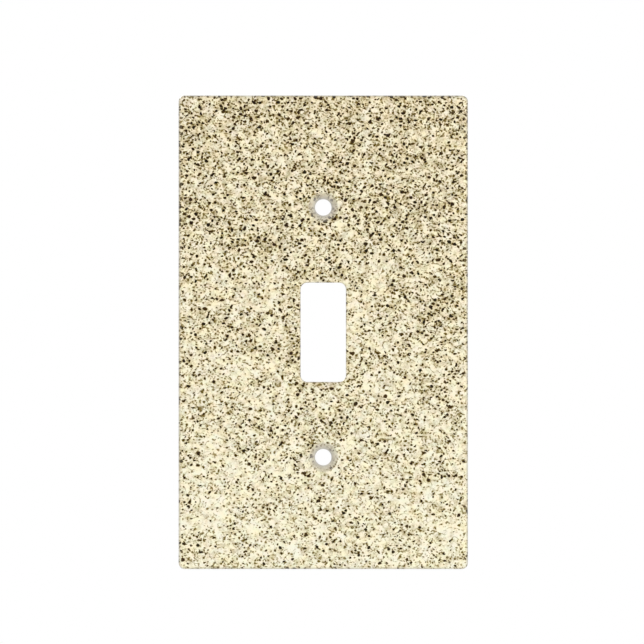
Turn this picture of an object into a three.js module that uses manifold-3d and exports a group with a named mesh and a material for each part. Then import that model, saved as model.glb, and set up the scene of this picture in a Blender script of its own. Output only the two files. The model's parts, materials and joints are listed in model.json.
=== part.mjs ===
// Wall plate for one toggle light switch: a moulded white plate with a hollow back, and a thin
// printed layer that covers its front.
//
// Each piece is built in plate space, lying on its back: X is the width, Y the height and Z the
// distance from the wall. standUp then turns it so that +Z is up and the front faces -Y. The
// origin is on the wall, behind the middle of the toggle opening.

import * as THREE from "three";
import { mergeVertices } from "three/addons/utils/BufferGeometryUtils.js";
import Module from "manifold-3d";

const wasm = await Module();
wasm.setup();

// Driving dimensions, in millimetres and degrees. A depth is measured from the wall, towards the
// room.

const plate = { width: 69.85, height: 114.3, depth: 5.6, cornerRadius: 1.5, edgeRadius: 1 };
const toggle = { width: 10.95, height: 23.95, cornerRadius: 1.65, rimRadius: 0.45 };
const screw = { spacing: 60.325, holeRadius: 1.985, sinkRadius: 3.6, sinkAngle: 82, rimRadius: 0.4 };

// The printed layer: its thickness, the glue line under it, how far it wraps down the plate's
// rounded edge and how far it reaches down each countersink.
const print = { thickness: 0.25, glue: 0.05, wrap: 0.65, sinkReach: 1.6 };

// The back: wall thicknesses, and the depths at which the raised features end.
const back = { faceWall: 2.3, rimWall: 2, cornerRadius: 1.2, draftAngle: 2 };
const boss = { radius: 4.6, endDepth: 1.6 };
const collar = { wall: 2, cornerRadius: 2, endDepth: 1.9 };
const rib = { width: 1.2, endDepth: 2.1, offset: 19 };

// Shallow marks that the ejector pins leave on the floor of the hollow back.
const ejector = { radius: 2, recess: 0.12, fromMiddle: 26, heights: [-44, -15, 15, 44] };

const floorDepth = plate.depth - back.faceWall;
const draft = Math.tan(THREE.MathUtils.degToRad(back.draftAngle));
const screwHeights = [-screw.spacing / 2, screw.spacing / 2];

const cornerSegments = 3;
const edgeSegments = 4;
const roundSegments = 40;
const beyond = 2; // how far a cutter reaches past the face that it cuts
const slabWidth = 2 * plate.width;
const slabHeight = 2 * plate.height;

// Outlines

function roundedRect(width, height, radius) {
  const x = width / 2 - radius;
  const y = height / 2 - radius;
  const quarter = Math.PI / 2;
  return new THREE.Shape()
    .absarc(x, y, radius, 0, quarter)
    .absarc(-x, y, radius, quarter, 2 * quarter)
    .absarc(-x, -y, radius, 2 * quarter, 3 * quarter)
    .absarc(x, -y, radius, 3 * quarter, 4 * quarter)
    .closePath();
}

function rectangle(width, height, centreX = 0, centreY = 0) {
  const [left, right] = [centreX - width / 2, centreX + width / 2];
  const [bottom, top] = [centreY - height / 2, centreY + height / 2];
  return new THREE.Shape()
    .moveTo(left, bottom)
    .lineTo(right, bottom)
    .lineTo(right, top)
    .lineTo(left, top)
    .closePath();
}

// Solids

function solid(geometry) {
  const bare = geometry.clone().deleteAttribute("normal").deleteAttribute("uv");
  const merged = mergeVertices(bare, 1e-4);
  return new wasm.Manifold(
    new wasm.Mesh({
      numProp: 3,
      vertProperties: merged.attributes.position.array,
      triVerts: new Uint32Array(merged.index.array),
    }),
  );
}

function joined(solids) {
  return solids.reduce((sum, piece) => sum.add(piece));
}

// A flat slab, wider and higher than the plate, between two depths.
function slab(low, high) {
  const shape = rectangle(slabWidth, slabHeight);
  const geometry = new THREE.ExtrudeGeometry(shape, { depth: high - low, bevelEnabled: false });
  return solid(geometry.translate(0, 0, low));
}

// A shape extruded up to a front face at depth `front`, whose edges are rounded. The outline
// given is that of the flat face, and the round grows outwards from it.
function roundedFront(shape, radius, front) {
  const options = {
    depth: front,
    bevelThickness: radius,
    bevelSize: radius,
    bevelSegments: edgeSegments,
    curveSegments: cornerSegments,
  };
  return solid(new THREE.ExtrudeGeometry(shape, options).translate(0, 0, -radius));
}

// A moulded form that starts at depth `end` with the outline given, and widens by the draft as
// far as depth `base`. It carries on past `base`, where another solid takes over.
function drafted(shape, end, base) {
  const length = Math.abs(base - end);
  const options = {
    depth: beyond,
    bevelThickness: length,
    bevelSize: length * draft,
    bevelSegments: 1,
    curveSegments: cornerSegments,
  };
  const start = base > end ? end + length : end - length - beyond;
  return solid(new THREE.ExtrudeGeometry(shape, options).translate(0, 0, start));
}

// A solid turned about a screw's axis, from [radius, depth] points that start and end on it.
function turned(profile, height) {
  const points = profile.map(([radius, depth]) => new THREE.Vector2(radius, depth));
  const geometry = new THREE.LatheGeometry(points, roundSegments);
  return solid(geometry.rotateX(Math.PI / 2).translate(0, height, 0));
}

// The front

// The space that a countersunk screw takes, grown by `inset`. The cone meets the face in a round
// that is tangent to both.
function screwSpace(height, inset) {
  const half = THREE.MathUtils.degToRad(screw.sinkAngle / 2);
  const turn = Math.PI / 2 - half;
  const front = plate.depth - inset;
  const radius = screw.rimRadius - inset;
  const centreRadius = screw.sinkRadius + screw.rimRadius * Math.tan(turn / 2);
  const round = Array.from({ length: edgeSegments + 1 }, (_, step) => {
    const angle = turn * (1 - step / edgeSegments);
    return [centreRadius - radius * Math.sin(angle), front - radius + radius * Math.cos(angle)];
  });
  const [coneTop, coneDepth] = round[0];
  const hole = screw.holeRadius + inset;
  const coneEnd = coneDepth - (coneTop - hole) / Math.tan(half);
  const bottom = [[0, -beyond], [hole, -beyond], [hole, coneEnd]];
  const top = [[centreRadius, front + beyond], [0, front + beyond]];
  return turned([...bottom, ...round, ...top], height);
}

// The plate's outer form, with its openings and without its hollow back. `inset` moves the front
// and the openings' walls into the material.
function outerForm(inset) {
  const { width, height, cornerRadius, edgeRadius, depth } = plate;
  const round = 2 * edgeRadius;
  const face = roundedRect(width - round, height - round, cornerRadius - edgeRadius);
  const rim = 2 * toggle.rimRadius;
  const openingRadius = toggle.cornerRadius + toggle.rimRadius;
  const pierced = rectangle(slabWidth, slabHeight);
  pierced.holes.push(roundedRect(toggle.width + rim, toggle.height + rim, openingRadius));
  const form = roundedFront(face, edgeRadius - inset, depth - inset)
    .intersect(roundedFront(pierced, toggle.rimRadius - inset, depth - inset))
    .intersect(slab(0, depth));
  return form.subtract(joined(screwHeights.map((y) => screwSpace(y, inset))));
}

// Everything in front of the surface that lies `inset` under the plate's front, as deep as the
// printed layer reaches and `extra` deeper: down to one depth round the edges, and further down
// in each countersink.
function inFront(inset, extra) {
  const front = plate.depth + beyond;
  const edge = plate.depth - print.wrap - extra;
  const sink = plate.depth - print.sinkReach - extra;
  const radius = screw.sinkRadius + screw.rimRadius + extra;
  const plugs = screwHeights.map((y) =>
    turned([[0, sink], [radius, sink], [radius, front], [0, front]], y),
  );
  return joined([slab(edge, front), ...plugs]).subtract(outerForm(inset));
}

// The back

function screwBoss(height) {
  const base = boss.radius + (floorDepth - boss.endDepth) * draft;
  const end = [[0, boss.endDepth], [boss.radius, boss.endDepth]];
  const root = [[base, floorDepth], [base, floorDepth + beyond], [0, floorDepth + beyond]];
  return turned([...end, ...root], height);
}

function toggleCollar() {
  const width = toggle.width + 2 * collar.wall;
  const height = toggle.height + 2 * collar.wall;
  return drafted(roundedRect(width, height, collar.cornerRadius), collar.endDepth, floorDepth);
}

function ribs() {
  const uprights = [-rib.offset, 0, rib.offset].map((x) => rectangle(rib.width, plate.height, x));
  const crossings = screwHeights.map((y) => rectangle(plate.width, rib.width, 0, y));
  return [...uprights, ...crossings].map((bar) => drafted(bar, rib.endDepth, floorDepth));
}

function ejectorMarks() {
  const { radius, recess, fromMiddle, heights } = ejector;
  const pin = new THREE.CylinderGeometry(radius, radius, 2 * recess, roundSegments);
  pin.rotateX(Math.PI / 2);
  return [-fromMiddle, fromMiddle].flatMap((x) =>
    heights.map((y) => solid(pin.clone().translate(x, y, floorDepth))),
  );
}

function hollowBack() {
  const inset = 2 * (back.rimWall + floorDepth * draft);
  const outline = roundedRect(plate.width - inset, plate.height - inset, back.cornerRadius);
  const standing = joined([toggleCollar(), ...screwHeights.map(screwBoss), ...ribs()]);
  return joined([drafted(outline, floorDepth, 0).subtract(standing), ...ejectorMarks()]);
}

// Pieces

function plateBody() {
  const bed = inFront(print.thickness + print.glue, print.glue);
  return outerForm(0).subtract(bed).subtract(hollowBack());
}

function printedFace() {
  return outerForm(0).intersect(inFront(print.thickness, 0));
}

function standUp(name, piece, material) {
  const { vertProperties, triVerts } = piece.getMesh();
  const geometry = new THREE.BufferGeometry()
    .setAttribute("position", new THREE.BufferAttribute(vertProperties, 3))
    .setIndex(new THREE.BufferAttribute(triVerts, 1))
    .rotateX(Math.PI / 2);
  geometry.computeVertexNormals();
  const mesh = new THREE.Mesh(geometry, material);
  mesh.name = name;
  return mesh;
}

function plastic(color, roughness) {
  return new THREE.MeshStandardMaterial({ color, roughness, metalness: 0 });
}

const wallPlate = new THREE.Group();
wallPlate.add(standUp("plate_body", plateBody(), plastic(0xf1f0ec, 0.4)));
wallPlate.add(standUp("printed_face", printedFace(), plastic(0xd2c8a7, 0.3)));

export default wallPlate;
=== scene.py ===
import json
import math

import bmesh
import bpy
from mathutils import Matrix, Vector


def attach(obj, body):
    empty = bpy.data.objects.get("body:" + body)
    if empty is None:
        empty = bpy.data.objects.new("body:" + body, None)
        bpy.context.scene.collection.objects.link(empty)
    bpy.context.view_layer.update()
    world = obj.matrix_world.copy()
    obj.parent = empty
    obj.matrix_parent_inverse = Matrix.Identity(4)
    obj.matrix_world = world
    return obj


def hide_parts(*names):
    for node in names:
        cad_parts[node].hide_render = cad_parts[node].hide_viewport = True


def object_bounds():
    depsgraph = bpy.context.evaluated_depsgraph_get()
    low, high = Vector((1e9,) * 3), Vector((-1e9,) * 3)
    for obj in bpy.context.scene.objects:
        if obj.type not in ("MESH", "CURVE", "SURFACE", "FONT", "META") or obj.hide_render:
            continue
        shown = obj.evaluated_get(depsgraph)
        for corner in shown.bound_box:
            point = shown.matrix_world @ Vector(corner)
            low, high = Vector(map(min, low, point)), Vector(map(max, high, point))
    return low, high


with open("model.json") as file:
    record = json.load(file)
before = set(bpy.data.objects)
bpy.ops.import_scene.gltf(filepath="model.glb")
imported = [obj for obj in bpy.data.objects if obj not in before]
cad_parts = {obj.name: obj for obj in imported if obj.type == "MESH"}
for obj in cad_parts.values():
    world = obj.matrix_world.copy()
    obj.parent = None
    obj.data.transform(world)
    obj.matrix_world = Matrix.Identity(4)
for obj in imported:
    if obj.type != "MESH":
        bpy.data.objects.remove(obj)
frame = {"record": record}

# A wall plate for one toggle light switch. +Z is up, the front faces -Y and the wall is the plane
# y = 0. Two pieces are built: the moulded plate and the thin printed layer on its front. Lengths
# are in metres, and a constant given as a number of millimetres is multiplied by MM.

MM = 0.001
BODY = "root"
CAD_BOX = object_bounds()

# The frame gives the outline, the depth and the places of the screws.
LOW, HIGH = CAD_BOX
FRONT, WALL = LOW.y, HIGH.y
HALF_WIDTH = (HIGH.x - LOW.x) / 2
HALF_HEIGHT = (HIGH.z - LOW.z) / 2
MOUNTS = {mount["name"]: mount for mount in frame["record"]["mounts"]}
SEATS = [Vector(MOUNTS[name]["pos_m"]) for name in ("strap_seat_upper", "strap_seat_lower")]
SCREW_HEIGHTS = [seat.z for seat in SEATS]
BOSS_END = SEATS[0].y

# The front: its corners and rounded edge, the toggle opening and the countersunk screw holes.
CORNER_RADIUS = 1.5 * MM
EDGE_RADIUS = 1.0 * MM
TOGGLE_HALF_WIDTH = 5.475 * MM
TOGGLE_HALF_HEIGHT = 11.975 * MM
TOGGLE_CORNER = 1.65 * MM
TOGGLE_RIM = 0.45 * MM
HOLE_RADIUS = 1.985 * MM
SINK_RADIUS = 3.6 * MM
SINK_HALF_ANGLE = 41
SINK_RIM = 0.4 * MM

# The printed layer: its thickness, the gap left for its bond, how far it wraps round an edge, and
# how deep it reaches in a countersink.
PRINT = 0.25 * MM
BOND = 0.05 * MM
WRAP = 0.65 * MM
SINK_REACH = 1.6 * MM

# The print's bed in the plate: how deep it is cut, and where it ends round an edge and in a
# countersink.
BED = PRINT + BOND
BED_EDGE_END = FRONT + WRAP + BOND
BED_SINK_END = FRONT + SINK_REACH + BOND

# The hollow back, and what stands on its floor.
FLOOR = FRONT + 2.3 * MM
RIM_WALL = 2.0 * MM
POCKET_CORNER = 1.3 * MM
DRAFT = math.tan(math.radians(2))
BOSS_RADIUS = 4.6 * MM
COLLAR_WALL = 2.0 * MM
COLLAR_CORNER = 2.0 * MM
COLLAR_END = WALL - 1.9 * MM
RIB_HALF_WIDTH = 0.6 * MM
RIB_CORNER = 0.3 * MM
RIB_END = WALL - 2.1 * MM
RIB_OFFSET = 19 * MM
EJECTOR_RADIUS = 2.0 * MM
EJECTOR_RECESS = 0.12 * MM
EJECTOR_PLACES = [(side * 26 * MM, z * MM) for side in (-1, 1) for z in (-44, -15, 15, 44)]
BACK_ROUND = 0.22 * MM
FILLET = 0.4 * MM

BEYOND = 2 * MM  # how far a cutter reaches past the surface that it cuts
SUNK = 0.01 * MM  # how far a foot sits under the floor that it joins
WELD = 0.0005 * MM  # vertices closer than this are one
SHARP_ANGLE = 40  # an edge that turns by more degrees than this is shaded as a corner
CORNER_STEPS = 10
ROUND_STEPS = 8
CIRCLE_STEPS = 96


# Outlines are closed lists of (x, z) points. An outline function takes how far it is grown.

def rounded_rect(half_width, half_height, radius, centre=(0.0, 0.0)):
    def outline(grow):
        points = []
        for corner, (side, rise) in enumerate(((1, 1), (-1, 1), (-1, -1), (1, -1))):
            x = centre[0] + side * (half_width - radius)
            z = centre[1] + rise * (half_height - radius)
            for step in range(CORNER_STEPS + 1):
                angle = (corner + step / CORNER_STEPS) * math.pi / 2
                points.append((x + (radius + grow) * math.cos(angle), z + (radius + grow) * math.sin(angle)))
        return points

    return outline


def disc(radius, centre):
    def outline(grow):
        angles = [2 * math.pi * step / CIRCLE_STEPS for step in range(CIRCLE_STEPS)]
        reach = radius + grow
        return [(centre[0] + reach * math.cos(a), centre[1] + reach * math.sin(a)) for a in angles]

    return outline


face_outline = rounded_rect(HALF_WIDTH, HALF_HEIGHT, CORNER_RADIUS)
toggle_outline = rounded_rect(TOGGLE_HALF_WIDTH, TOGGLE_HALF_HEIGHT, TOGGLE_CORNER)
pocket_outline = rounded_rect(HALF_WIDTH - RIM_WALL, HALF_HEIGHT - RIM_WALL, POCKET_CORNER)


# A chain is a list of (outline, y). A round in it is an arc in the plane of grow and y, about a
# centre in that plane, between two angles in degrees.

def sweep(outline, centre, radius, first, last):
    chain = []
    for step in range(ROUND_STEPS + 1):
        angle = math.radians(first + (last - first) * step / ROUND_STEPS)
        grow = centre[0] + radius * math.cos(angle)
        chain.append((outline(grow), centre[1] + radius * math.sin(angle)))
    return chain


def plate_edge(inset, stop):
    """The front edge, `inset` under its surface, from the flat face down to y = stop."""
    radius = EDGE_RADIUS - inset
    middle = FRONT + EDGE_RADIUS
    last = math.degrees(math.asin((stop - middle) / radius))
    return sweep(face_outline, (-EDGE_RADIUS, middle), radius, -90, last)


def toggle_edge(inset, stop):
    """The rim of the toggle opening, `inset` under its surface, down to y = stop."""
    chain = sweep(toggle_outline, (TOGGLE_RIM, FRONT + TOGGLE_RIM), TOGGLE_RIM - inset, -90, -180)
    return chain + [(toggle_outline(inset), stop)]


def sink_edge(inset, stop, height):
    """A countersink, `inset` under its surface, from the flat face down its cone to y = stop."""
    turn = 90 - SINK_HALF_ANGLE
    middle = SINK_RADIUS + SINK_RIM * math.tan(math.radians(turn / 2))
    outline = disc(0.0, (0.0, height))
    chain = sweep(outline, (middle, FRONT + SINK_RIM), SINK_RIM - inset, -90, -90 - turn)
    return chain + [(outline(sink_radius(inset, stop)), stop)]


def sink_radius(inset, y):
    """The radius of the countersink's cone at a depth, `inset` under its surface."""
    half = math.radians(SINK_HALF_ANGLE)
    return SINK_RADIUS + inset / math.cos(half) - (y - FRONT) * math.tan(half)


# Solids: each chain of rings is bridged, and the first and the last rings are filled.

def ring(bm, outline, y):
    return [bm.verts.new((x, y, z)) for x, z in outline]


def bridge(bm, first, second):
    for index, corner in enumerate(first):
        after = (index + 1) % len(first)
        bm.faces.new((corner, first[after], second[after], second[index]))


def fill(bm, rings):
    """A flat face inside the first ring, with the other rings as its holes."""
    pairs = [pair for loop in rings for pair in zip(loop, loop[1:] + loop[:1])]
    edges = [bm.edges.get(pair) or bm.edges.new(pair) for pair in pairs]
    bmesh.ops.triangle_fill(bm, edges=edges, use_beauty=True)


def solid(name, chains):
    bm = bmesh.new()
    built = [[ring(bm, outline, y) for outline, y in chain] for chain in chains]
    for rings in built:
        for first, second in zip(rings, rings[1:]):
            bridge(bm, first, second)
    fill(bm, [rings[0] for rings in built])
    fill(bm, [rings[-1] for rings in built])
    bmesh.ops.recalc_face_normals(bm, faces=bm.faces)
    piece = bpy.data.objects.new(name, bpy.data.meshes.new(name))
    bm.to_mesh(piece.data)
    bm.free()
    bpy.context.scene.collection.objects.link(piece)
    return piece


def apply_modifiers(piece):
    done = piece.evaluated_get(bpy.context.evaluated_depsgraph_get())
    mesh = bpy.data.meshes.new_from_object(done)
    piece.modifiers.clear()
    piece.data = mesh


def combine(piece, tool, operation):
    step = piece.modifiers.new("combine", "BOOLEAN")
    step.operation = operation
    step.object = tool
    step.solver = "EXACT"
    apply_modifiers(piece)
    bpy.data.objects.remove(tool)


def shade(piece):
    """Welds stray vertices, and shades rounds smooth and corners sharp."""
    bm = bmesh.new()
    bm.from_mesh(piece.data)
    bmesh.ops.remove_doubles(bm, verts=bm.verts, dist=WELD)
    bmesh.ops.dissolve_degenerate(bm, edges=bm.edges, dist=WELD)
    bm.to_mesh(piece.data)
    bm.free()
    piece.data.shade_smooth()
    piece.data.set_sharp_from_angle(angle=math.radians(SHARP_ANGLE))
    weighted = piece.modifiers.new("weighted", "WEIGHTED_NORMAL")
    weighted.keep_sharp = True
    apply_modifiers(piece)


# The printed layer: an outer surface and an inner one, joined round every opening.

def build_print():
    stops = (FRONT + WRAP, FRONT + SINK_REACH)
    surfaces = []
    for inset in (0.0, PRINT):
        sinks = [sink_edge(inset, stops[1], height) for height in SCREW_HEIGHTS]
        surfaces.append([plate_edge(inset, stops[0]), toggle_edge(inset, stops[0]), *sinks])
    outer, inner = surfaces
    return solid("front_print", [out + back[::-1] for out, back in zip(outer, inner)])


# The moulded plate.

def plate_shell():
    """The plate before its openings are cut, with an empty pocket in its back."""
    start = math.degrees(math.asin((BED_EDGE_END - FRONT - EDGE_RADIUS) / EDGE_RADIUS))
    round_y = WALL - BACK_ROUND
    foot = -(WALL - FLOOR - FILLET) * DRAFT - FILLET
    chain = [
        *plate_edge(BED, BED_EDGE_END),
        *sweep(face_outline, (-EDGE_RADIUS, FRONT + EDGE_RADIUS), EDGE_RADIUS, start, 0),
        *sweep(face_outline, (-BACK_ROUND, round_y), BACK_ROUND, 0, 90),
        *sweep(pocket_outline, (BACK_ROUND, round_y), BACK_ROUND, 90, 180),
        *sweep(pocket_outline, (foot, FLOOR + FILLET), FILLET, 0, -90),
    ]
    return solid("moulded_plate", [chain])


def standing(outline, end):
    """A form that stands on the floor: a rounded end, drafted sides and a fillet at its foot."""
    foot = (end - FLOOR - FILLET) * DRAFT + FILLET
    chain = [
        *sweep(outline, (-BACK_ROUND, end - BACK_ROUND), BACK_ROUND, 90, 0),
        *sweep(outline, (foot, FLOOR - SUNK + FILLET), FILLET, 180, 270),
        (outline(foot), FLOOR - FILLET),
    ]
    return solid("standing", [chain])


def standing_forms():
    reach = (HALF_WIDTH - RIM_WALL / 2, HALF_HEIGHT - RIM_WALL / 2)
    for x in (-RIB_OFFSET, 0.0, RIB_OFFSET):
        yield standing(rounded_rect(RIB_HALF_WIDTH, reach[1], RIB_CORNER, (x, 0.0)), RIB_END)
    for height in SCREW_HEIGHTS:
        yield standing(rounded_rect(reach[0], RIB_HALF_WIDTH, RIB_CORNER, (0.0, height)), RIB_END)
        yield standing(disc(BOSS_RADIUS, (0.0, height)), BOSS_END)
    collar = (TOGGLE_HALF_WIDTH + COLLAR_WALL, TOGGLE_HALF_HEIGHT + COLLAR_WALL)
    yield standing(rounded_rect(*collar, COLLAR_CORNER), COLLAR_END)


def opening(front, outline, start, end):
    """A cutter: it follows `front`, the print's bed, then `start`, and flares as it nears y = end."""
    lead = (front[0][0], FRONT - BEYOND)
    flare = sweep(outline, (BACK_ROUND, end - BACK_ROUND), BACK_ROUND, 180, 90)
    tail = (outline(BACK_ROUND), WALL + BEYOND)
    return solid("opening", [[lead, *front, *start, *flare, tail]])


def toggle_opening():
    front = toggle_edge(BED, BED_EDGE_END)
    start = [(toggle_outline(0.0), BED_EDGE_END)]
    return opening(front, toggle_outline, start, COLLAR_END)


def screw_opening(height):
    front = sink_edge(BED, BED_SINK_END, height)
    hole = disc(HOLE_RADIUS, (0.0, height))
    lip = sink_radius(0.0, BED_SINK_END) - HOLE_RADIUS
    cone_end = BED_SINK_END + lip / math.tan(math.radians(SINK_HALF_ANGLE))
    start = [(hole(lip), BED_SINK_END), (hole(0.0), cone_end)]
    return opening(front, hole, start, BOSS_END)


def ejector_mark(centre):
    outline = disc(EJECTOR_RADIUS, centre)
    chain = [(outline(0.0), FLOOR - EJECTOR_RECESS), (outline(EJECTOR_RECESS), FLOOR + EJECTOR_RECESS)]
    return solid("mark", [chain])


def build_plate():
    plate = plate_shell()
    for form in standing_forms():
        combine(plate, form, "UNION")
    for cutter in (toggle_opening(), *map(screw_opening, SCREW_HEIGHTS), *map(ejector_mark, EJECTOR_PLACES)):
        combine(plate, cutter, "DIFFERENCE")
    return plate


# Node trees

NOISE_RANGE = (0.29, 0.71)  # nearly all of a noise's values lie between these


class Graph:
    """Builds a node tree from short expressions."""

    def __init__(self, tree):
        self.tree = tree
        tree.nodes.clear()

    def node(self, kind, inputs=None, **settings):
        made = self.tree.nodes.new("ShaderNode" + kind)
        for key, value in settings.items():
            setattr(made, key, value)
        for key, value in (inputs or {}).items():
            self.put(made.inputs[key], value)
        return made

    def put(self, socket, value):
        if isinstance(value, bpy.types.NodeSocket):
            self.tree.links.new(value, socket)
        else:
            socket.default_value = value

    def math(self, operation, *values):
        made = self.node("Math", dict(enumerate(values)), operation=operation)
        return made.outputs[0]

    def vector(self, operation, *values):
        made = self.node("VectorMath", dict(enumerate(values)), operation=operation)
        return made.outputs[0]

    def ramp(self, value, start, end, low=0.0, high=1.0, kind="LINEAR"):
        keys = ("Value", "From Min", "From Max", "To Min", "To Max")
        inputs = dict(zip(keys, (value, start, end, low, high)))
        return self.node("MapRange", inputs, interpolation_type=kind).outputs[0]

    def mix(self, factor, first, second):
        inputs = {0: factor, 6: first, 7: second}
        return self.node("Mix", inputs, data_type="RGBA", clamp_factor=True).outputs[2]

    def noise(self, place, size, detail=1.0, colour=False):
        inputs = {"Vector": place, "Scale": 1 / (size * MM), "Detail": detail, "Roughness": 0.55}
        return self.node("TexNoise", inputs).outputs["Color" if colour else "Fac"]

    def wave(self, place, size, amount, detail=1.0, shift=0.0):
        """Noise spread about zero, from -amount to amount. Its grains are `size` mm wide."""
        moved = self.vector("ADD", place, (shift, 2 * shift, 0.0))
        return self.ramp(self.noise(moved, size, detail), *NOISE_RANGE, -amount, amount)

    def turned(self, place, *angles):
        inputs = {"Vector": place, "Rotation": tuple(map(math.radians, angles))}
        return self.node("VectorRotate", inputs, rotation_type="EULER_XYZ").outputs[0]

    def bump(self, height, depth):
        return self.node("Bump", {"Height": height, "Distance": depth * MM}).outputs["Normal"]


def new_material(name):
    material = bpy.data.materials.new(name)
    material.use_nodes = True
    g = Graph(material.node_tree)
    shader = g.node("BsdfPrincipled")
    g.put(g.node("OutputMaterial").inputs["Surface"], shader.outputs["BSDF"])
    return material, g, shader


def byte_colour(red, green, blue):
    """A colour given in sRGB bytes, as the linear values that a shader takes."""
    levels = [level / 255 for level in (red, green, blue)]
    linear = [v / 12.92 if v <= 0.04045 else ((v + 0.055) / 1.055) ** 2.4 for v in levels]
    return (*linear, 1.0)


# The print: dark speckles, short strokes and a tan mottle over a champagne ground. The tables below
# give lengths in millimetres, and a tone runs from 0, solid ink, to 1, the palest ground.

EXPOSURE = 1.225  # how much brighter than its colour a face looks under the studio's lights
GLOSS = 0.008  # what the surface's own reflection adds to every colour
GROUND_TONE = 0.942  # at the foot of the plate
TONE_DROP = 0.075  # how much darker the ground gets towards the top
TONES = {
    0.0: (22, 9, 0),
    0.06: (38, 22, 0),
    0.2: (72, 55, 2),
    0.41: (122, 107, 59),
    0.61: (167, 156, 118),
    0.8: (214, 205, 174),
    0.92: (236, 229, 201),
    1.0: (246, 241, 215),
}
SPECKLE_SOFTNESS = 0.08  # half the width of a speckle's soft rim
RAGGEDNESS = 0.05  # how far that rim wanders in and out

# Layers of speckles. `share` of the cells have one at the foot of the plate, and `denser` more at
# its top. A layer's `shift`, in metres, moves its cells away from those of the others.
SPECKLES = (
    dict(spacing=1.27, share=0.2, denser=0.31, radius=(0.2, 0.41), dark=(0.8, 1.0), shift=0.011),
    dict(spacing=0.96, share=0.42, denser=0.31, radius=(0.145, 0.305), dark=(0.4, 0.92), shift=0.027),
    dict(spacing=0.7, share=0.44, denser=0.2, radius=(0.1, 0.22), dark=(0.25, 0.65), shift=0.043),
)
STRETCH = (0.92, 1.04, 1.0)  # the pattern is a little wider than it is high

# Strokes: the grain of the contours that they follow and that of the patches where they show.
STROKE_SIZES = (1.6, 1.3)
STROKE_INK = 0.55
STROKES_BY_HEIGHT = (0.8, 1.15)  # how strong they are at the foot of the plate and at its top

# Broad waves: crowding, drift and mottle. Each changes the tone and the share of speckles together.
BROAD_WAVES = (
    dict(size=5.0, detail=3.0, shift=0.21, tone=-0.035, share=0.27),
    dict(size=17.0, detail=1.0, shift=0.33, tone=-0.02, share=0.09),
    dict(size=1.2, detail=1.5, shift=0.13, tone=0.15, share=-0.2),
)
# Grains of the ground: size, change of tone and shift.
GRAINS = ((2.2, 0.085, 0.0), (0.42, 0.08, 0.31), (0.2, 0.12, 0.47))
# What pulls the speckles about: size and distance.
WARPS = ((0.8, 0.35), (2.4, 1.0))

# Tints: a grain size and the two tints that it wanders between, then those for foot and top.
HUES = (
    (2.2, (1.03, 1.0, 0.88, 1.0), (0.98, 1.0, 1.06, 1.0)),
    (1.5, (1.04, 0.975, 0.99, 1.0), (0.975, 1.01, 0.99, 1.0)),
)
HUE_BELOW = (1.0, 1.02, 1.06, 1.0)
HUE_ABOVE = (0.987, 0.968, 0.97, 1.0)
SHEEN_TINT = (1.0, 0.84, 0.5, 1.0)  # the gloss is as warm as the ground
FADE_AND_SHADE_GREY = (200, 196, 189)  # the print where its ink thins out, greyed with painted shade
FADE_AND_SHADE_ON_EDGES = 0.3  # how far it thins out and is greyed with painted shade on the rounded edges
FADE_AND_SHADE_IN_SINKS = 0.5  # and down in the countersinks


def speckles(g, place, presence, ragged, spacing, radius, dark, shift):
    """Round dots, one to a cell. Each has its own size and darkness, and not every cell has one."""
    moved = g.vector("ADD", place, (shift, 0.7 * shift, 0.0))
    inputs = {"Vector": moved, "Scale": 1 / (spacing * MM)}
    cells = g.node("TexVoronoi", inputs, voronoi_dimensions="2D", feature="F1")
    chance = g.node("SeparateColor", {"Color": cells.outputs["Color"]}).outputs
    size = g.ramp(chance[1], 0.0, 1.0, *radius)
    ink = g.ramp(chance[2], 0.0, 1.0, *dark)
    rim = g.math("SUBTRACT", g.math("MULTIPLY_ADD", cells.outputs["Distance"], spacing, ragged), size)
    inside = g.ramp(rim, -SPECKLE_SOFTNESS, SPECKLE_SOFTNESS, 1.0, 0.0, "SMOOTHSTEP")
    present = g.math("LESS_THAN", chance[0], presence)
    return g.math("MULTIPLY", g.math("MULTIPLY", present, ink), inside)


def strokes(g, place):
    """Short thin strokes: pieces of a noise's contour lines."""
    contours, patches = STROKE_SIZES
    line = g.math("ABSOLUTE", g.wave(place, contours, 1.0, 0.5, 0.061))
    thin = g.ramp(line, 0.05, 0.14, STROKE_INK, 0.0, "SMOOTHSTEP")
    shown = g.ramp(g.wave(place, patches, 1.0, 1.0, 0.093), -0.05, 0.27, 0.0, 1.0, "SMOOTHSTEP")
    return g.math("MULTIPLY", thin, shown)


def warp(g, place):
    """Pulls the speckles out of line and out of round."""
    warped = place
    for size, amount in WARPS:
        wobble = g.vector("SUBTRACT", g.noise(place, size, 1.0, True), (0.5, 0.5, 0.5))
        wobble = g.vector("MULTIPLY", wobble, (amount * MM, amount * MM, 0.0))
        warped = g.vector("ADD", warped, wobble)
    return warped


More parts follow.
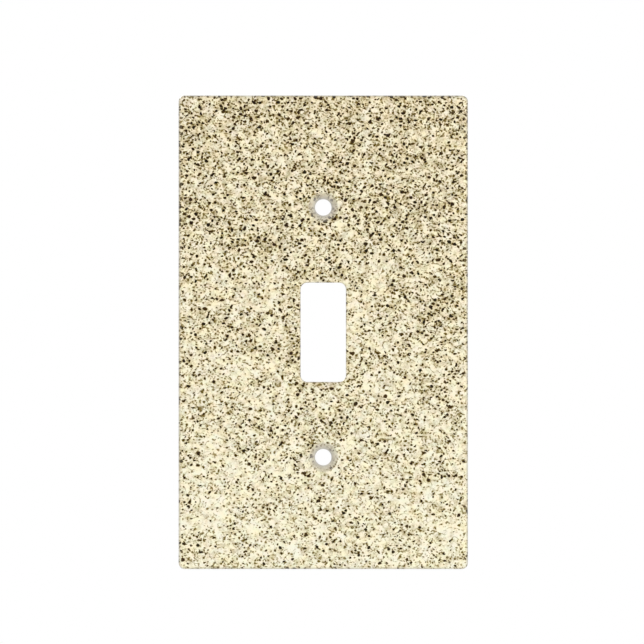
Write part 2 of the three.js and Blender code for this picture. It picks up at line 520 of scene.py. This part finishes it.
def print_tone(g, flat, place, height):
    """The tone of the print, a little darker and more speckled towards the top.

    `flat` carries the speckles and strokes, `place` the noises, and `height` runs from 0 to 1.
    """
    tone = g.math("MULTIPLY_ADD", height, -TONE_DROP, GROUND_TONE)
    waves = [g.wave(place, wave["size"], 1.0, wave["detail"], wave["shift"]) for wave in BROAD_WAVES]
    for wave, values in zip(waves, BROAD_WAVES):
        tone = g.math("MULTIPLY_ADD", wave, values["tone"], tone)
    for size, amount, shift in GRAINS:
        tone = g.math("ADD", tone, g.wave(place, size, amount, 2.0, shift))
    ragged = g.wave(place, 0.3, RAGGEDNESS, 1.0, 0.11)
    warped = warp(g, flat)
    inks = [g.math("MULTIPLY", strokes(g, warped), g.ramp(height, 0.0, 1.0, *STROKES_BY_HEIGHT))]
    for layer in SPECKLES:
        presence = g.math("MULTIPLY_ADD", height, layer["denser"], layer["share"])
        for wave, values in zip(waves, BROAD_WAVES):
            presence = g.math("MULTIPLY_ADD", wave, values["share"], presence)
        rest = {key: layer[key] for key in ("spacing", "radius", "dark", "shift")}
        inks.append(speckles(g, warped, presence, ragged, **rest))
    for ink in inks:
        tone = g.math("MULTIPLY", tone, g.math("SUBTRACT", 1.0, ink))
    return g.math("MAXIMUM", tone, 0.0)


def tone_colour(g, tone):
    ramp = g.node("ValToRGB", {"Fac": tone})
    stops = ramp.color_ramp.elements
    stops.remove(stops[-1])
    for index, (level, colour) in enumerate(TONES.items()):
        stop = stops[0] if index == 0 else stops.new(level)
        stop.position = level
        stop.color = byte_colour(*colour)
    return ramp.outputs["Color"]


def face_print_material():
    material, g, shader = new_material("face_print")
    coordinates = g.node("TexCoord").outputs
    parts = g.node("SeparateXYZ", {"Vector": coordinates["Object"]}).outputs
    flat = g.node("CombineXYZ", {"X": parts["X"], "Y": parts["Z"]}).outputs[0]
    flat = g.vector("MULTIPLY", flat, STRETCH)
    place = g.turned(flat, 40, 30, 20)
    height = g.ramp(parts["Z"], -HALF_HEIGHT, HALF_HEIGHT)
    # The noises are cut at a slant and the speckles' cells turned, so that no grid shows.
    tone = print_tone(g, g.turned(flat, 0, 0, 27), g.turned(flat, 35, 25, 40), height)
    colour = g.vector("MULTIPLY", tone_colour(g, tone), g.mix(height, HUE_BELOW, HUE_ABOVE))
    for size, first, second in HUES:
        hue = g.wave(place, size, 0.5, 2.0, size / 20)
        colour = g.vector("MULTIPLY", colour, g.mix(g.math("ADD", hue, 0.5), first, second))
    # Where it turns away from the front, and down in the countersinks, the ink thins out and turns grey:
    # partly that fade, partly painted shade. The slope is -1 on the flat front and 0 on the sides.
    slope = g.node("SeparateXYZ", {"Vector": coordinates["Normal"]}).outputs["Y"]
    turned = g.ramp(slope, -0.98, -0.55, 0.0, FADE_AND_SHADE_ON_EDGES, "SMOOTHSTEP")
    deep = g.ramp(parts["Y"], FRONT + 0.3 * MM, FRONT + SINK_REACH, 0.0, FADE_AND_SHADE_IN_SINKS, "SMOOTHSTEP")
    patches = g.wave(place, 0.9, 0.12, 2.0, 0.17)
    fade_and_shade = g.math("MULTIPLY_ADD", turned, patches, g.math("ADD", turned, deep))
    # Painted shade: the print is mixed towards grey on its turned edges and in the countersinks.
    colour = g.mix(fade_and_shade, colour, byte_colour(*FADE_AND_SHADE_GREY))
    colour = g.vector("MULTIPLY_ADD", colour, (1 / EXPOSURE,) * 3, (-GLOSS,) * 3)
    g.put(shader.inputs["Base Color"], g.vector("MAXIMUM", colour, (0.0, 0.0, 0.0)))
    g.put(shader.inputs["Roughness"], g.ramp(tone, 0.0, 1.0, 0.24, 0.34))
    shader.inputs["Specular Tint"].default_value = SHEEN_TINT
    peel = g.wave(place, 1.4, 0.5, 2.0, 0.23)
    g.put(shader.inputs["Normal"], g.bump(g.math("MULTIPLY_ADD", tone, 0.3, peel), 0.006))
    return material


# The plastic: a warm white with faint flow marks, a fine grain and a few grey specks.

PLASTIC = ((0.82, 0.812, 0.785, 1.0), (0.85, 0.845, 0.82, 1.0))
SPECK = (0.55, 0.53, 0.48, 1.0)
# Painted shade for the deep lip of each countersink: a grey mixed into the plastic there.
SINK_SHADE_GREY = (0.4, 0.38, 0.33, 1.0)
SINK_SHADE_RADII = (3.8 * MM, 4.2 * MM)  # from a screw's axis, where the painted shade starts to fade and its end
SINK_SHADE_DEPTHS = (1.9 * MM, 2.3 * MM)  # the same, but measured from the front
SINK_SHADE_STRENGTH = 0.85


def painted_shade_in_sinks(g, place):
    """Painted shade: a grey on the plastic just past the end of the print in a countersink, where its deep
    lip lies in shade.
    """
    parts = g.node("SeparateXYZ", {"Vector": place}).outputs
    rise = g.math("SUBTRACT", g.math("ABSOLUTE", parts["Z"]), SCREW_HEIGHTS[0])
    offset = g.node("CombineXYZ", {"X": parts["X"], "Y": rise}).outputs[0]
    reach = g.node("VectorMath", {0: offset}, operation="LENGTH").outputs["Value"]
    inside = g.ramp(reach, *SINK_SHADE_RADII, 1.0, 0.0)
    depth = g.math("ADD", parts["Y"], g.wave(place, 0.5, 0.15 * MM))
    start, end = (FRONT + fade for fade in SINK_SHADE_DEPTHS)
    painted_sink_shade = g.ramp(depth, start, end, SINK_SHADE_STRENGTH, 0.0, "SMOOTHSTEP")
    return g.math("MULTIPLY", inside, painted_sink_shade)


def plate_plastic_material():
    material, g, shader = new_material("plate_plastic")
    place = g.node("TexCoord").outputs["Object"]
    flow = g.math("ADD", g.wave(place, 14.0, 0.3, 3.0), 0.5)
    cloud = g.math("ADD", g.wave(place, 2.5, 0.25, 3.0, 0.19), flow)
    colour = g.mix(cloud, *PLASTIC)
    speck = g.ramp(g.noise(place, 0.5, 2.0), 0.78, 0.84, 0.0, 0.35, "SMOOTHSTEP")
    colour = g.mix(speck, colour, SPECK)
    # Painted shade: the plastic turns grey just past the print's end in each countersink.
    g.put(shader.inputs["Base Color"], g.mix(painted_shade_in_sinks(g, place), colour, SINK_SHADE_GREY))
    g.put(shader.inputs["Roughness"], g.math("ADD", g.wave(place, 3.0, 0.06, 3.0, 0.29), 0.38))
    texture = g.wave(place, 0.16, 0.5, 2.0)
    g.put(shader.inputs["Normal"], g.bump(g.math("MULTIPLY_ADD", flow, 2.0, texture), 0.008))
    return material


FLOOR_COLOURS = ((0.84, 0.84, 0.83, 1.0), (0.87, 0.87, 0.865, 1.0))


def floor_material():
    material, g, shader = new_material("floor")
    place = g.node("TexCoord").outputs["Object"]
    cloud = g.math("ADD", g.wave(place, 60.0, 0.5, 3.0), 0.5)
    g.put(shader.inputs["Base Color"], g.mix(cloud, *FLOOR_COLOURS))
    shader.inputs["Roughness"].default_value = 0.7
    g.put(shader.inputs["Normal"], g.bump(g.wave(place, 1.5, 0.5, 2.0), 0.02))
    return material


# The studio: a white backdrop behind the plate, grey walls elsewhere and soft lights.

CAMERA_DISTANCE = 1.5
SENSOR_WIDTH = 36  # in millimetres, as Blender wants it
FRAME_WIDTH = 155.4 * MM  # what the camera takes in, at the plate
FRAME_CENTRE = (-0.3 * MM, 2.485 * MM)
FLOOR_LEVEL = -0.12
FLOOR_HALF_WIDTH = 3.0
FLOOR_FRONT = -2.0
FLOOR_BEND = 0.4  # the floor falls away gently behind here, as far as its end
FLOOR_END = 4.0
FLOOR_FALL = 0.08
FLOOR_STEPS = 60
# Lights: the name, the place, the side of its square and the power.
LIGHTS = (
    ("key", (0.7, -1.25, 0.35), 0.8, 13),
    ("fill", (-0.85, -1.2, 0.1), 0.8, 8),
    ("rear", (-0.8, 0.75, 0.9), 0.3, 13),
)


def build_camera():
    lens = bpy.data.cameras.new("camera")
    lens.sensor_width = SENSOR_WIDTH
    lens.lens = SENSOR_WIDTH * CAMERA_DISTANCE / FRAME_WIDTH
    lens.clip_start = 0.01
    lens.clip_end = 20
    camera = bpy.data.objects.new("camera", lens)
    camera.location = (FRAME_CENTRE[0], FRONT + EDGE_RADIUS - CAMERA_DISTANCE, FRAME_CENTRE[1])
    camera.rotation_euler = (math.pi / 2, 0, 0)
    bpy.context.scene.collection.objects.link(camera)
    bpy.context.scene.camera = camera


def build_lights():
    for name, place, size, power in LIGHTS:
        light = bpy.data.lights.new(name, "AREA")
        light.shape = "SQUARE"
        light.size = size
        light.energy = power
        lamp = bpy.data.objects.new(name, light)
        lamp.location = place
        lamp.rotation_euler = (-Vector(place)).to_track_quat("-Z", "Y").to_euler()
        lamp.visible_camera = False
        bpy.context.scene.collection.objects.link(lamp)


def build_world():
    """The surroundings as the camera sees them, and the dimmer ones that light the plate."""
    world = bpy.data.worlds.new("studio")
    world.use_nodes = True
    g = Graph(world.node_tree)
    direction = g.node("TexCoord").outputs["Generated"]
    toward_wall = g.node("SeparateXYZ", {"Vector": direction}).outputs["Y"]
    backdrop = g.ramp(toward_wall, -0.7, 0.4, 0.6, 1.0, "SMOOTHSTEP")
    ambient = g.ramp(toward_wall, -0.5, 0.5, 0.5, 0.25)
    # A dark patch in front of the plate keeps the gloss from greying the print.
    ambient = g.math("MINIMUM", ambient, g.ramp(toward_wall, -0.97, -0.9, 0.1, 0.6, "SMOOTHSTEP"))
    seen = g.node("LightPath").outputs["Is Camera Ray"]
    strength = g.math("MULTIPLY_ADD", seen, g.math("SUBTRACT", backdrop, ambient), ambient)
    background = g.node("Background", {"Color": (1.0, 1.0, 1.0, 1.0), "Strength": strength})
    g.put(g.node("OutputWorld").inputs["Surface"], background.outputs[0])
    bpy.context.scene.world = world


def floor_height(y):
    """Flat in front of the bend, then a parabola that turns into a steady fall."""
    past = max(0.0, y - FLOOR_BEND)
    bend = min(past, FLOOR_BEND)
    return FLOOR_LEVEL - FLOOR_FALL * (bend * bend / (2 * FLOOR_BEND) + past - bend)


def build_floor():
    bm = bmesh.new()
    rows = []
    for step in range(FLOOR_STEPS + 1):
        y = FLOOR_FRONT + (FLOOR_END - FLOOR_FRONT) * step / FLOOR_STEPS
        rows.append([bm.verts.new((side * FLOOR_HALF_WIDTH, y, floor_height(y))) for side in (-1, 1)])
    for near, far in zip(rows, rows[1:]):
        bm.faces.new((near[0], near[1], far[1], far[0]))
    mesh = bpy.data.meshes.new("floor")
    bm.to_mesh(mesh)
    bm.free()
    mesh.shade_smooth()
    mesh.materials.append(floor_material())
    floor = bpy.data.objects.new("floor", mesh)
    bpy.context.scene.collection.objects.link(floor)


def place_piece(piece, node, material):
    shade(piece)
    piece.data.materials.clear()
    piece.data.materials.append(material)
    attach(piece, BODY)
    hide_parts(node)


bpy.context.scene.view_settings.view_transform = "Standard"
build_world()
build_lights()
build_camera()
build_floor()
place_piece(build_plate(), "plate_body", plate_plastic_material())
place_piece(build_print(), "printed_face", face_print_material())
